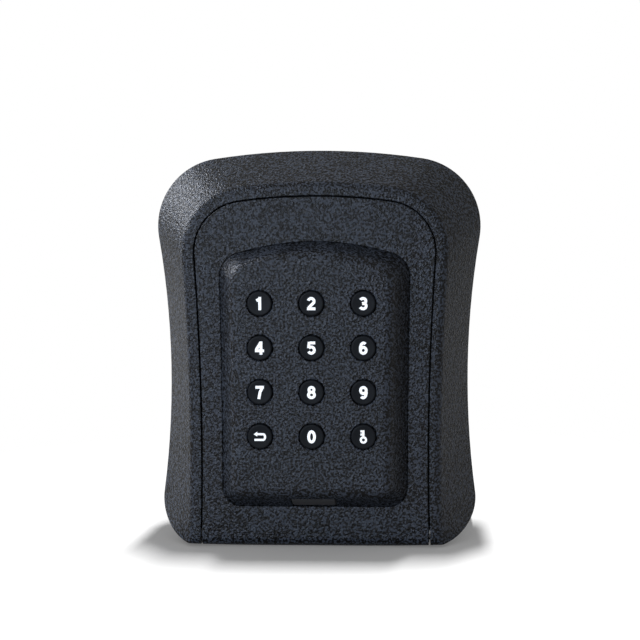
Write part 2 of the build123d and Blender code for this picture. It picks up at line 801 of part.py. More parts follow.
# Liner: rear cover of the door with the battery bay and a slot for the bolt
with BuildPart() as door_liner:
    extrude(waisted(liner_depth, liner), amount=plate_back - liner_front_gap - liner_depth)
    fillet(door_liner.faces().sort_by(Axis.Y)[-1].edges(), liner_edge_radius)
    extrude(
        waisted(liner_inside, grown(liner, -liner_wall)), amount=front_depth - liner_inside, mode=Mode.SUBTRACT
    )
    extrude(
        waisted(flange_back - liner_front_gap, grown(fascia_flange, liner_front_gap)),
        amount=front_depth - flange_back, mode=Mode.SUBTRACT,
    )
    box_between(
        (-hatch_half_width - liner_wall, liner_inside, hatch_bottom - liner_wall),
        (hatch_half_width + liner_wall, liner_inside + liner_wall, hatch_top + liner_wall),
    )
    box_between(
        (-bay_half_width - bay_wall, liner_inside, bay_bottom - bay_wall),
        (bay_half_width + bay_wall, bay_floor + bay_floor_wall, bay_top + bay_wall),
    )
    discs(liner_inside, hatch_screw_length + bay_wall, screw_radius + bay_wall, hatch_screw_point)
    box_between(
        (-bay_half_width, liner_depth, bay_bottom), (bay_half_width, bay_floor, bay_top), Mode.SUBTRACT
    )
    box_between(
        (-hatch_half_width - hatch_gap, liner_depth, hatch_bottom - hatch_gap),
        (hatch_half_width + hatch_gap, liner_inside, hatch_top + hatch_gap),
        Mode.SUBTRACT,
    )
    discs(liner_depth, hatch_screw_length, screw_radius, hatch_screw_point, Mode.SUBTRACT)
    box_between(
        (-bolt_width / 2 - 2 * bolt_gap, bolt_back - 2 * bolt_gap, chassis_top),
        (bolt_width / 2 + 2 * bolt_gap, bolt_front + 2 * bolt_gap, opening_top),
        Mode.SUBTRACT,
    )
    discs(liner_depth, liner_wall, screw_radius + screw_hole_gap, liner_screw_points, Mode.SUBTRACT)
    discs(
        liner_inside, plate_back - liner_inside, door_boss_radius + boss_fit, liner_screw_points, Mode.SUBTRACT
    )
save(door_liner.part, "door_liner")
liner_screws = screws(liner_screw_points, liner_depth, liner_screw_length)
save(liner_screws, "liner_screws")

with BuildPart() as battery_cover:
    box_between(
        (-hatch_half_width, liner_depth, hatch_bottom),
        (hatch_half_width, liner_inside - hatch_seat_gap, hatch_top),
    )
    fillet(battery_cover.edges().filter_by(Axis.Y), hatch_corner_radius)
    with BuildSketch(Plane.XZ.offset(liner_depth)):
        with Locations((0, hatch_bottom + 2 * hatch_seat)):
            with GridLocations(0, hatch_seat, 1, hatch_grips):
                SlotOverall(hatch_grip_length, hatch_grip_width)
    extrude(amount=liner_wall / 2, mode=Mode.SUBTRACT)
    discs(liner_depth, liner_wall, screw_radius + screw_hole_gap, hatch_screw_point, Mode.SUBTRACT)
save(battery_cover.part, "battery_cover")
cover_screw = screws(hatch_screw_point, liner_depth, hatch_screw_length)
save(cover_screw, "cover_screw")

# Four cells side by side, each the other way up from its neighbour
cell_columns = [cell_pitch * (i - (cell_count - 1) / 2) for i in range(cell_count)]
cell_low = bay_bottom + contact_thickness
cell_high = bay_top - contact_thickness
with BuildPart() as batteries:
    for i, column in enumerate(cell_columns):
        upward = i % 2 == 0
        foot = cell_low + spring_height if upward else cell_low + cell_nub_height
        with BuildSketch(Plane.XY.offset(foot)):
            with Locations((column, -cell_depth)):
                Circle(cell_radius)
        extrude(amount=cell_length - cell_nub_height)
        nub = foot + cell_length - cell_nub_height if upward else foot
        with BuildSketch(Plane.XY.offset(nub)):
            with Locations((column, -cell_depth)):
                Circle(cell_nub_radius)
        extrude(amount=cell_nub_height if upward else -cell_nub_height)
save(batteries.part, "batteries")

# Nickel contact plates at both ends of the bay; each plate on the far side bridges two cells
contact_half = spring_radius + contact_edge
with BuildPart() as battery_contacts:
    for columns, level in (
        ((0, 1), bay_bottom), ((2, 3), bay_bottom), ((0, 0), cell_high), ((1, 2), cell_high), ((3, 3), cell_high)
    ):
        left, right = (cell_columns[i] for i in columns)
        with BuildSketch(Plane.XY.offset(level)):
            with Locations(((left + right) / 2, -cell_depth)):
                RectangleRounded(right - left + 2 * contact_half, 2 * contact_half, contact_edge)
        extrude(amount=contact_thickness)
save(battery_contacts.part, "battery_contacts")

coil_rise = spring_height - spring_wire
with BuildPart() as battery_springs:
    for i, column in enumerate(cell_columns):
        level = cell_low + spring_wire / 2 if i % 2 == 0 else cell_high - spring_height + spring_wire / 2
        with BuildLine(Plane((column, -cell_depth, level))) as coil:
            Helix(coil_rise / spring_turns, coil_rise, spring_radius)
        with BuildSketch(Plane(origin=coil.line @ 0, z_dir=coil.line % 0)):
            Circle(spring_wire / 2)
        sweep(path=coil.line, is_frenet=True)
save(battery_springs.part, "battery_springs")


def tooth_half_angle(radius):
    """Half the angle that a pinion tooth takes up at a radius, from the involute of the base circle."""
    pressure = radians(gear_pressure)
    base = pitch_radius * cos(pressure)
    local = acos(min(1.0, base / radius))
    half_pitch = pi / (2 * gear_teeth) - gear_thinning / pitch_radius
    return half_pitch + (tan(pressure) - pressure) - (tan(local) - local)


# Pinion on its shaft, which runs from the gearbox to a bearing in the chassis
tip_radius = pitch_radius + gear_addendum * gear_module
root_radius = pitch_radius - gear_dedendum * gear_module
base_circle = pitch_radius * cos(radians(gear_pressure))
flank_radii = [base_circle + (tip_radius - base_circle) * i / flank_steps for i in range(flank_steps + 1)]
flank = [(radius, tooth_half_angle(radius)) for radius in [root_radius - gear_thinning] + flank_radii]
tooth = [(r * cos(a), r * sin(a)) for r, a in flank] + [(r * cos(a), -r * sin(a)) for r, a in reversed(flank)]
with BuildPart() as drive_pinion:
    with BuildSketch(Plane.YZ.offset(pinion_left)) as wheel:
        Circle(root_radius)
        with PolarLocations(0, gear_teeth):
            Polygon(*tooth, align=None)
    extrude(wheel.sketch.moved(Location((0, -pinion_depth, pinion_height))), amount=pinion_width)
    crossbar(
        pinion_left - shaft_bearing, gearbox_left + shaft_bearing - pinion_left + shaft_bearing, shaft_radius,
        depth=pinion_depth, height=pinion_height,
    )
save(drive_pinion.part, "drive_pinion")

# Bolt with a forward tail that carries the rack
rack_pitch = pi * gear_module
rack_tip_line = rack_pitch_line - gear_addendum * gear_module
rack_half_root = rack_pitch / 4 + (rack_root - rack_pitch_line) * tan(radians(gear_pressure)) - gear_thinning
rack_half_tip = rack_pitch / 4 - (rack_pitch_line - rack_tip_line) * tan(radians(gear_pressure)) - gear_thinning
first_tooth = pinion_height + (rack_teeth_above - rack_teeth) * rack_pitch + rack_pitch / 2
with BuildPart() as latch_bolt:
    box_between((-bolt_width / 2, bolt_back, bolt_bottom), (bolt_width / 2, bolt_front, bolt_top))
    chamfer(
        latch_bolt.faces().sort_by(Axis.Z)[-1].edges().filter_by(Axis.X).sort_by(Axis.Y)[-1], bolt_tip_chamfer
    )
    chamfer(
        latch_bolt.faces().sort_by(Axis.Z)[-1].edges().filter_by(Axis.X).sort_by(Axis.Y)[0], bolt_lead_in
    )
    box_between((tail_left, bolt_front, bolt_bottom), (tail_left + tail_width, tail_front, tail_step))
    box_between((tail_left, rack_root, tail_bottom), (tail_left + tail_width, tail_front, bolt_bottom))
    with BuildSketch(Plane.YZ.offset(tail_left)):
        for i in range(rack_teeth):
            centre = first_tooth + i * rack_pitch
            Polygon(
                (-rack_root, centre - rack_half_root), (-rack_tip_line, centre - rack_half_tip),
                (-rack_tip_line, centre + rack_half_tip), (-rack_root, centre + rack_half_root), align=None,
            )
    extrude(amount=tail_width)
save(latch_bolt.part, "latch_bolt")

# Chassis that guides the bolt and holds the gear motor
pocket_half = motor_height / 2 + pocket_gap
pocket_front = chassis_front - pocket_front_wall
pocket_right = motor_right + lead_room
strap_columns = (pinion_left - shaft_bearing - small_screw_radius, chassis_right - strap_screw_inset)
strap_points = [(x, strap_height) for x in strap_columns]
slot_top = tail_step + bolt_travel + tail_gap
with BuildPart() as lock_chassis:
    box_between(
        (chassis_left, chassis_back, chassis_bottom), (chassis_right, chassis_front, chassis_shoulder)
    )
    box_between(
        (-chassis_half_width, bolt_guide_back, chassis_shoulder),
        (chassis_half_width, bolt_guide_front, chassis_top),
    )
    box_between(
        (-ear_half_width, ear_back, lock_screw_height - ear_height / 2),
        (ear_half_width, bolt_guide_front, lock_screw_height + ear_height / 2),
    )
    box_between(
        (tail_left - tail_gap, chassis_back, pinion_height - pocket_half),
        (pocket_right, pocket_front, pinion_height + pocket_half), Mode.SUBTRACT,
    )
    box_between(
        (-bolt_width / 2 - bolt_gap, bolt_back - bolt_gap, bolt_bottom - bolt_gap),
        (bolt_width / 2 + bolt_gap, bolt_front + bolt_gap, chassis_top), Mode.SUBTRACT,
    )
    box_between(
        (tail_left - tail_gap, rack_tip_line - tail_gap, chassis_bottom),
        (tail_left + tail_width + tail_gap, chassis_front, slot_top), Mode.SUBTRACT,
    )
    box_between(
        (tail_left - tail_gap, bolt_front, bolt_bottom - bolt_gap),
        (tail_left + tail_width + tail_gap, chassis_front, slot_top), Mode.SUBTRACT,
    )
    box_between(
        (motor_right + tail_gap, pocket_front, pinion_height - lead_pitch),
        (pocket_right, chassis_front, pinion_height + lead_pitch), Mode.SUBTRACT,
    )
    crossbar(
        chassis_left, shaft_bearing - chassis_left + pinion_left, shaft_radius + shaft_fit, Mode.SUBTRACT,
        pinion_depth, pinion_height,
    )
    discs(
        bolt_guide_back, bolt_guide_front - bolt_guide_back, screw_radius + screw_hole_gap,
        lock_screw_points, Mode.SUBTRACT,
    )
    discs(chassis_back, strap_screw_length, small_screw_radius, strap_points, Mode.SUBTRACT)
save(lock_chassis.part, "lock_chassis")

inner_lock_points = lock_screw_points[:2]
outer_lock_points = lock_screw_points[2:]
lock_screws = Compound(children=[
    screws(inner_lock_points, bolt_guide_back, bolt_guide_front - bolt_guide_back + lock_screw_bite),
    screws(outer_lock_points, ear_back, bolt_guide_front - ear_back + lock_screw_bite),
])
save(lock_screws, "lock_screws")

motor_back = pinion_depth - motor_thickness / 2
motor_front = pinion_depth + motor_thickness / 2
with BuildPart() as gearbox:
    box_between(
        (gearbox_left, motor_back, pinion_height - motor_height / 2),
        (gearbox_left + gearbox_length, motor_front, pinion_height + motor_height / 2),
    )
    with BuildSketch(Plane.YZ.offset(gearbox_left + gearbox_end_plate)):
        with Locations((-pinion_depth, pinion_height)):
            Rectangle(motor_thickness, motor_height)
            Rectangle(motor_thickness - 2 * gearbox_core_inset, motor_height, mode=Mode.SUBTRACT)
    extrude(amount=gearbox_length - 2 * gearbox_end_plate, mode=Mode.SUBTRACT)
    crossbar(
        gearbox_left, shaft_bearing + 2 * shaft_fit, shaft_radius + shaft_fit, Mode.SUBTRACT,
        pinion_depth, pinion_height,
    )
save(gearbox.part, "gearbox")

with BuildPart() as motor_can:
    with BuildSketch(Plane.YZ.offset(can_left)):
        with Locations((-pinion_depth, pinion_height)):
            Circle(motor_height / 2)
            Rectangle(motor_thickness, motor_height, mode=Mode.INTERSECT)
    extrude(amount=can_length)
save(motor_can.part, "motor_can")

with BuildPart() as motor_strap:
    box_between(
        (chassis_left + strap_gap, chassis_back - strap_thickness, strap_height - strap_width / 2),
        (chassis_right - strap_gap, chassis_back, strap_height + strap_width / 2),
    )
    fillet(motor_strap.edges().filter_by(Axis.Y), strap_corner_radius)
    discs(
        chassis_back - strap_thickness, strap_thickness, small_screw_radius + screw_hole_gap, strap_points,
        Mode.SUBTRACT,
    )
save(motor_strap.part, "motor_strap")
strap_screws = screws(
    strap_points, chassis_back - strap_thickness, strap_thickness + strap_screw_length, small_screw_radius
)
save(strap_screws, "strap_screws")

# Two leads from the end of the motor, forward through the chassis and down to the side of the plug
plug_middle = board_back - plug_height / 2
plug_right = plug_place[0] + plug_size / 2
with BuildPart() as motor_leads:
    for side, step in zip((-1, 1), lead_steps):
        motor_pin = pinion_height + side * lead_pitch / 2
        plug_pin = plug_place[1] + side * lead_pitch / 2
        with BuildLine() as route:
            FilletPolyline(
                (motor_right, -pinion_depth, motor_pin),
                (motor_right + step, -pinion_depth, motor_pin),
                (motor_right + step, -plug_middle, motor_pin),
                (motor_right + step, -plug_middle, plug_pin),
                (plug_right, -plug_middle, plug_pin),
                radius=lead_bend,
            )
        with BuildSketch(Plane(origin=route.line @ 0, z_dir=route.line % 0)):
            Circle(lead_radius)
        sweep(path=route.line)
save(motor_leads.part, "motor_leads")
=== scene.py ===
import json
from math import cos, radians, sin

import bmesh
import bpy
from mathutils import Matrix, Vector


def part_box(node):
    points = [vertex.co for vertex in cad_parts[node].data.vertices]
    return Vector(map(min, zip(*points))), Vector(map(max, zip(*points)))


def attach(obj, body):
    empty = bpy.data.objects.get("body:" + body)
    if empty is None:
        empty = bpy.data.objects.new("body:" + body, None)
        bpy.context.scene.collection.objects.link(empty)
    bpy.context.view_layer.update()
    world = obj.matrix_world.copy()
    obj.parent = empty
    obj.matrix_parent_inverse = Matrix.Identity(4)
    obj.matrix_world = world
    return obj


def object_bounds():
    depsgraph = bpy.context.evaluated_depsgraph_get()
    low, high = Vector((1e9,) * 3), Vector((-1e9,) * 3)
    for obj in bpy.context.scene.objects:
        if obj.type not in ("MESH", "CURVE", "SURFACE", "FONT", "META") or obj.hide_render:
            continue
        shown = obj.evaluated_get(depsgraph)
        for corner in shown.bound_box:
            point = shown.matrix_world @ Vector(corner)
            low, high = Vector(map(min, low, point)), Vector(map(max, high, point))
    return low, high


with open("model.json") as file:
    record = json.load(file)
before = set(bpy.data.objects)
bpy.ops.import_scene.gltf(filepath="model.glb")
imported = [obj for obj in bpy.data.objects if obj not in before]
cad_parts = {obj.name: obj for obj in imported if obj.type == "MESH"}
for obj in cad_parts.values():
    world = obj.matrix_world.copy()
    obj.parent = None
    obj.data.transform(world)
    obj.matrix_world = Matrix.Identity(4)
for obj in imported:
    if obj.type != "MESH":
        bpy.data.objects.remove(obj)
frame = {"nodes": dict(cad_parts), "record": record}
cad_low, cad_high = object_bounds()
nodes = frame["nodes"]
scene = bpy.context.scene

# Sizes and places in metres. The box hangs on the wall plane y = 0 and faces -Y.
MM = 0.001
CAMERA_PLACE = (29.7 * MM, -298 * MM, 15.2 * MM)
CAMERA_YAW = 1.21
CAMERA_PITCH = 1.57
CAMERA_LENS = 49.44
CAMERA_SENSOR = 36.0
CAMERA_SHIFT = -0.119

LEGEND_TOP = 0.02 * MM
LEGEND_BOTTOM = 0.13 * MM
LEGEND_STROKE = 0.82 * MM
SIGN_STROKE = 0.62 * MM

# Painted glow on the white legends: emission that brightens the print, not a light behind it.
LEGEND_PAINTED_GLOW = 0.22

# Lights and surround
FRONT_PLACE = (-0.34, -0.82, 0.14)
FRONT_SIZE = (0.46, 0.48)
FRONT_COLOUR = (0.86, 0.98, 1.18)
CORNER_PLACE = (-0.61, 0.03, 0.42)
CORNER_SIZE = (0.3, 0.3)
CORNER_COLOUR = (0.95, 0.99, 1.08)
OVERHEAD_PLACE = (0.02, 0.14, 1.44)
OVERHEAD_SIZE = (0.07, 0.24)
FRONT_POWER = 6.9
CORNER_POWER = 6.7
FLOOR_POWER = 22.0
SURROUND_LEVEL = 0.25
FLOOR_REACH = 6.0
FLOOR_ALBEDO = 0.8
FLOOR_GLOW = 0.14
FLOOR_FADE_START = 0.1
FLOOR_FADE_END = 0.22
FLOOR_DROP = 0.02 * MM

# Linear colours
COAT = (0.0112, 0.013, 0.0165)
COAT_GLOSS = 0.12
COAT_ROUGHNESS = 0.25
COAT_GRAIN = 0.55 * MM
COAT_RELIEF = 0.32 * MM
BODY_EDGE = 0.35 * MM
PANEL_EDGE = 0.25 * MM
KEY_BLACK = (0.006, 0.0068, 0.008)
INK_WHITE = (0.9, 0.9, 0.89)


def node_tree(name):
    """A new material with its node tree emptied down to the output."""
    material = bpy.data.materials.new(name)
    material.use_nodes = True
    tree = material.node_tree
    tree.nodes.clear()
    output = tree.nodes.new("ShaderNodeOutputMaterial")
    shader = tree.nodes.new("ShaderNodeBsdfPrincipled")
    tree.links.new(shader.outputs["BSDF"], output.inputs["Surface"])
    return material, tree, shader


def noise(tree, place, size, detail=2.0, rough=0.5, stretch=(1, 1, 1)):
    """Noise with features of a given size in metres, in the row frame."""
    scaled = tree.nodes.new("ShaderNodeMapping")
    scaled.inputs["Scale"].default_value = stretch
    tree.links.new(place, scaled.inputs["Vector"])
    texture = tree.nodes.new("ShaderNodeTexNoise")
    texture.inputs["Scale"].default_value = 1 / size
    texture.inputs["Detail"].default_value = detail
    texture.inputs["Roughness"].default_value = rough
    tree.links.new(scaled.outputs["Vector"], texture.inputs["Vector"])
    return texture.outputs["Fac"]


def ramp(tree, value, low, high, start=0.0, end=1.0):
    """The value mapped from start..end to low..high, without going past them."""
    mapped = tree.nodes.new("ShaderNodeMapRange")
    mapped.inputs["From Min"].default_value = start
    mapped.inputs["From Max"].default_value = end
    mapped.inputs["To Min"].default_value = low
    mapped.inputs["To Max"].default_value = high
    tree.links.new(value, mapped.inputs["Value"])
    return mapped.outputs["Result"]


def math_node(tree, kind, first, second):
    """Two values added, multiplied and so on."""
    result = tree.nodes.new("ShaderNodeMath")
    result.operation = kind
    for socket, value in zip(result.inputs, (first, second)):
        if isinstance(value, (int, float)):
            socket.default_value = value
        else:
            tree.links.new(value, socket)
    return result.outputs["Value"]


def mixed_colour(tree, value, first, second):
    """A colour between two colours, by a value."""
    mix = tree.nodes.new("ShaderNodeMix")
    mix.data_type = "RGBA"
    colours = [socket for socket in mix.inputs if socket.type == "RGBA"]
    colours[0].default_value = (*first, 1)
    colours[1].default_value = (*second, 1)
    tree.links.new(value, mix.inputs["Factor"])
    return next(socket for socket in mix.outputs if socket.type == "RGBA")


def bumped(tree, shader, height, strength, depth, edge):
    """Surface relief from a height, on edges softened to a radius."""
    relief = tree.nodes.new("ShaderNodeBump")
    relief.inputs["Strength"].default_value = strength
    relief.inputs["Distance"].default_value = depth
    tree.links.new(height, relief.inputs["Height"])
    if edge:
        soft = tree.nodes.new("ShaderNodeBevel")
        soft.samples = 6
        soft.inputs["Radius"].default_value = edge
        tree.links.new(soft.outputs["Normal"], relief.inputs["Normal"])
    tree.links.new(relief.outputs["Normal"], shader.inputs["Normal"])


def powder_coat(name, edge):
    """Black coat with a fine pebbled grain, as on the box, the door and the panel."""
    material, tree, shader = node_tree(name)
    place = tree.nodes.new("ShaderNodeTexCoord").outputs["Object"]
    fine = noise(tree, place, COAT_GRAIN, 1.5, 0.5)
    coarse = noise(tree, place, COAT_GRAIN * 3.1, 2.0, 0.5)
    broad = noise(tree, place, COAT_GRAIN * 16, 2.0)
    height = math_node(tree, "ADD", fine, math_node(tree, "MULTIPLY", coarse, 0.25))
    speckle = noise(tree, place, COAT_GRAIN * 1.25, 1.0, 0.5)
    tint = math_node(tree, "ADD", speckle, math_node(tree, "MULTIPLY", broad, 0.1))
    dark = tuple(0.05 * c for c in COAT)
    light = tuple(2.6 * c for c in COAT)
    colour = mixed_colour(tree, ramp(tree, tint, 0, 1, 0.53, 0.61), dark, light)
    tree.links.new(colour, shader.inputs["Base Color"])
    dull = ramp(tree, fine, COAT_ROUGHNESS + 0.12, COAT_ROUGHNESS - 0.1, 0.35, 0.65)
    tree.links.new(dull, shader.inputs["Roughness"])
    shader.inputs["Specular IOR Level"].default_value = COAT_GLOSS
    bumped(tree, shader, height, 1.0, COAT_RELIEF, edge)
    return material


def moulded(name, colour, roughness, grain, relief, edge=0.15 * MM, specular=0.5):
    """Moulded plastic or rubber: an even colour with slight clouding and a fine surface."""
    material, tree, shader = node_tree(name)
    place = tree.nodes.new("ShaderNodeTexCoord").outputs["Object"]
    fine = noise(tree, place, grain, 3.0)
    broad = noise(tree, place, grain * 25, 2.0)
    light = tuple(min(1.0, 1.15 * c) for c in colour)
    dark = tuple(0.87 * c for c in colour)
    tree.links.new(mixed_colour(tree, broad, dark, light), shader.inputs["Base Color"])
    texture = ramp(tree, fine, roughness - 0.05, roughness + 0.06, 0.3, 0.7)
    tree.links.new(texture, shader.inputs["Roughness"])
    shader.inputs["Specular IOR Level"].default_value = specular
    bumped(tree, shader, fine, 0.7, relief, edge)
    return material


def metal(name, colour, roughness, stretch, relief=0.01 * MM, edge=0.12 * MM):
    """Bare or plated metal with fine tool marks along one direction."""
    material, tree, shader = node_tree(name)
    place = tree.nodes.new("ShaderNodeTexCoord").outputs["Object"]
    marks = noise(tree, place, 0.25 * MM, 3.0, 0.6, stretch)
    stain = noise(tree, place, 4 * MM, 3.0)
    dull = tuple(0.62 * c for c in colour)
    stained = mixed_colour(tree, ramp(tree, stain, 0, 1, 0.35, 0.65), colour, dull)
    tree.links.new(stained, shader.inputs["Base Color"])
    texture = ramp(tree, marks, roughness - 0.08, roughness + 0.12, 0.3, 0.7)
    tree.links.new(texture, shader.inputs["Roughness"])
    shader.inputs["Metallic"].default_value = 1.0
    bumped(tree, shader, marks, 0.6, relief, edge)
    return material


def painted_glow_ink(name):
    """White print of the key legends, with a faint painted glow that brightens the print."""
    material, tree, shader = node_tree(name)
    place = tree.nodes.new("ShaderNodeTexCoord").outputs["Object"]
    fine = noise(tree, place, 0.3 * MM, 2.0)
    dull = tuple(0.95 * c for c in INK_WHITE)
    tree.links.new(mixed_colour(tree, fine, dull, INK_WHITE), shader.inputs["Base Color"])
    tree.links.new(ramp(tree, fine, 0.45, 0.6, 0.3, 0.7), shader.inputs["Roughness"])
    # Painted glow: the ink gives off a little light of its own so the print reads brighter.
    shader.inputs["Emission Color"].default_value = (1, 1, 1, 1)
    shader.inputs["Emission Strength"].default_value = LEGEND_PAINTED_GLOW
    return material


def circuit_board(name):
    """Green solder mask over copper tracks, with a few bare pads."""
    material, tree, shader = node_tree(name)
    place = tree.nodes.new("ShaderNodeTexCoord").outputs["Object"]
    tracks = tree.nodes.new("ShaderNodeTexBrick")
    turned = tree.nodes.new("ShaderNodeMapping")
    turned.inputs["Rotation"].default_value = (radians(90), 0, 0)
    tree.links.new(place, turned.inputs["Vector"])
    tree.links.new(turned.outputs["Vector"], tracks.inputs["Vector"])
    tracks.inputs["Scale"].default_value = 1 / (9 * MM)
    tracks.inputs["Mortar Size"].default_value = 0.02
    mask = mixed_colour(tree, tracks.outputs["Fac"], (0.008, 0.075, 0.03), (0.02, 0.17, 0.06))
    tree.links.new(mask, shader.inputs["Base Color"])
    fine = noise(tree, place, 0.3 * MM)
    tree.links.new(ramp(tree, fine, 0.25, 0.38), shader.inputs["Roughness"])
    bumped(tree, shader, tracks.outputs["Fac"], 0.4, 0.03 * MM, 0)
    return material


def cell_wrap(name):
    """Printed film of a battery cell: dark body with a copper-coloured band at one end."""
    material, tree, shader = node_tree(name)
    place = tree.nodes.new("ShaderNodeTexCoord").outputs["Object"]
    split = tree.nodes.new("ShaderNodeSeparateXYZ")
    tree.links.new(place, split.inputs["Vector"])
    low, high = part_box("batteries")
    band = ramp(tree, split.outputs["Z"], 0, 1, high.z - 14 * MM, high.z - 13.8 * MM)
    film = mixed_colour(tree, band, (0.02, 0.021, 0.024), (0.55, 0.27, 0.12))
    tree.links.new(film, shader.inputs["Base Color"])
    fine = noise(tree, place, 0.8 * MM)
    tree.links.new(ramp(tree, fine, 0.22, 0.34), shader.inputs["Roughness"])
    shader.inputs["Metallic"].default_value = 0.6
    bumped(tree, shader, fine, 0.2, 0.02 * MM, 0)
    return material


def paint_nodes():
    """Gives every CAD node the material of its slot."""
    finishes = {
        "cast_black": powder_coat("cast_black", BODY_EDGE),
        "panel_black": powder_coat("panel_black", PANEL_EDGE),
        "key_black": moulded("key_black", KEY_BLACK, 0.42, 0.35 * MM, 0.01 * MM, 0.1 * MM, 0.05),
        "seal_rubber": moulded("seal_rubber", (0.014, 0.014, 0.015), 0.62, 0.3 * MM, 0.03 * MM),
        "steel": metal("steel", (0.56, 0.57, 0.58), 0.32, (1, 1, 0.08)),
        "board_green": circuit_board("board_green"),
        "chip_black": moulded("chip_black", (0.015, 0.015, 0.016), 0.34, 0.2 * MM, 0.02 * MM),
        "brass": metal("brass", (0.62, 0.42, 0.16), 0.3, (0.1, 1, 1)),
        "cell_wrap": cell_wrap("cell_wrap"),
        "nickel": metal("nickel", (0.68, 0.66, 0.60), 0.24, (1, 0.1, 1)),
        "liner_grey": moulded("liner_grey", (0.028, 0.029, 0.032), 0.52, 0.6 * MM, 0.05 * MM),
        "chassis_white": moulded("chassis_white", (0.52, 0.52, 0.49), 0.45, 0.5 * MM, 0.02 * MM),
        "lead_red": moulded("lead_red", (0.38, 0.02, 0.015), 0.4, 0.4 * MM, 0.01 * MM),
    }
    for part in frame["record"]["subparts"]:
        slots = nodes[part["node"]].data.materials
        slots.clear()
        slots.append(finishes[part["material_slot"]])


def arc(centre, radii, start, end, steps=14):
    """Points on an ellipse between two angles in degrees."""
    angles = [radians(start + (end - start) * i / steps) for i in range(steps + 1)]
    return [(centre[0] + radii[0] * cos(a), centre[1] + radii[1] * sin(a)) for a in angles]


def numeral(text):
    """Centre lines of an upright numeral, in millimetres about the middle of its key."""
    lower_ring = arc((0, -0.62), (0.82, 0.87), 0, 360, 24)
    hook = arc((0.06, 0.0), (0.88, 1.49), 205, 52, 16)
    return {
        "0": [arc((0, 0), (0.84, 1.49), 0, 360, 28)],
        "1": [[(0.12, 1.9), (0.12, -1.9)], [(0.2, 1.42), (-0.85, 0.8)]],
        "2": [
            arc((-0.02, 0.66), (0.82, 0.83), 168, -32) + [(-0.78, -1.2)], [(-1.22, -1.49), (1.22, -1.49)],
        ],
        "3": [
            arc((-0.06, 0.72), (0.8, 0.77), 155, -80) + [(-0.3, -0.02)],
            [(-0.3, -0.02)] + arc((-0.06, -0.68), (0.9, 0.81), 80, -155),
        ],
        "4": [[(0.35, 1.62), (-0.98, -0.55)], [(-1.3, -0.78), (1.3, -0.78)], [(0.42, 1.9), (0.42, -1.9)]],
        "5": [
            [(1.1, 1.49), (-0.55, 1.49)], [(-0.62, 1.75), (-0.8, 0.0)],
            arc((-0.02, -0.58), (0.88, 0.91), 140, -155),
        ],
        "6": [lower_ring, hook],
        "7": [[(-1.22, 1.49), (1.22, 1.49)], [(0.8, 1.45), (0.1, 0.1), (-0.25, -1.9)]],
        "8": [arc((0, 0.78), (0.72, 0.71), 0, 360, 22), arc((0, -0.69), (0.86, 0.8), 0, 360, 24)],
        "9": [[(-x, -z) for x, z in lower_ring], [(-x, -z) for x, z in hook]],
    }[text]


def ribbon(path, width):
    """Left and right edges of a line of even width, mitred at its bends.

    A path that ends where it began is a ring.
    """
    closed = (Vector(path[0]) - Vector(path[-1])).length < 0.001
    points = [Vector(p) for p in (path[:-1] if closed else path)]
    left, right = [], []
    for i, point in enumerate(points):
        before = points[i - 1] if closed or i else None
        after = points[(i + 1) % len(points)] if closed or i < len(points) - 1 else None
        legs = [(a, b) for a, b in ((before, point), (point, after)) if a is not None and b is not None]
        ways = [(b - a).normalized() for a, b in legs]
        along = sum(ways, Vector((0, 0))).normalized()
        reach = width / 2 / max(0.5, along.dot(ways[0]))
        across = Vector((-along.y, along.x)) * reach
        left.append(point + across)
        right.append(point - across)
    if closed:
        left.append(left[0])
        right.append(right[0])
    return left, right


def legend(name, paths, width, material, fills=()):
    """A printed sign in the dish of a key: lines of even width and filled outlines, in millimetres."""
    low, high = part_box(f"key_{name}")
    middle_x, middle_z, front = (low.x + high.x) / 2, (low.z + high.z) / 2, low.y
    vertices, faces = [], []

    def level(points, depth):
        first = len(vertices)
        vertices.extend((middle_x + x * MM, front + depth, middle_z + z * MM) for x, z in points)
        return list(range(first, first + len(points)))

    for path in paths:
        left, right = ribbon(path, width / MM)
        rows = [level(edge, depth) for edge, depth in (
            (left, LEGEND_TOP), (right, LEGEND_TOP), (right, LEGEND_BOTTOM), (left, LEGEND_BOTTOM)
        )]
        for i in range(len(left) - 1):
            for j in range(4):
                first, second = rows[j], rows[(j + 1) % 4]
                faces.append((first[i], second[i], second[i + 1], first[i + 1]))
        faces.append([row[0] for row in rows][::-1])
        faces.append([row[-1] for row in rows])
    for outline in fills:
        top, bottom = level(outline, LEGEND_TOP), level(outline, LEGEND_BOTTOM)
        count = len(outline)
        faces += [top, bottom[::-1]]
        faces += [(top[i], bottom[i], bottom[(i + 1) % count], top[(i + 1) % count]) for i in range(count)]
    mesh = bpy.data.meshes.new(f"legend_{name}")
    mesh.from_pydata(vertices, [], faces)
    mesh.materials.append(material)
    shape = bmesh.new()
    shape.from_mesh(mesh)
    bmesh.ops.recalc_face_normals(shape, faces=shape.faces)
    shape.to_mesh(mesh)
    shape.free()
    piece = bpy.data.objects.new(f"legend_{name}", mesh)
    scene.collection.objects.link(piece)
    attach(piece, f"button_{name}")


def legends():
    """White numbers, a return arrow and a key sign on the keys."""
    # The legend ink carries a faint painted glow.
    ink = painted_glow_ink("legend_ink_painted_glow")
    for number in "0123456789":
        legend(number, numeral(number), LEGEND_STROKE, ink)
    turn = [(-0.9, 0.72)] + arc((0.95, -0.1), (0.55, 0.82), 90, -90, 12) + [(-1.6, -0.92)]
    head = [(-1.8, 0.72), (-0.75, 1.42), (-0.75, 0.02)]
    legend("return", [turn], SIGN_STROKE, ink, [head])
    ring = arc((0, -0.85), (0.75, 0.75), 0, 360, 24)
    shaft = [(0, -0.3), (0, 1.95)]
    teeth = [[(0.1, 1.62), (-0.85, 1.62)], [(0.1, 0.72), (-0.85, 0.72)]]
    legend("open", [ring, shaft, *teeth], SIGN_STROKE, ink)


def look(position, target):
    """The rotation that turns an object's -Z axis from a position to a target."""
    return (Vector(target) - Vector(position)).to_track_quat("-Z", "Y").to_euler()


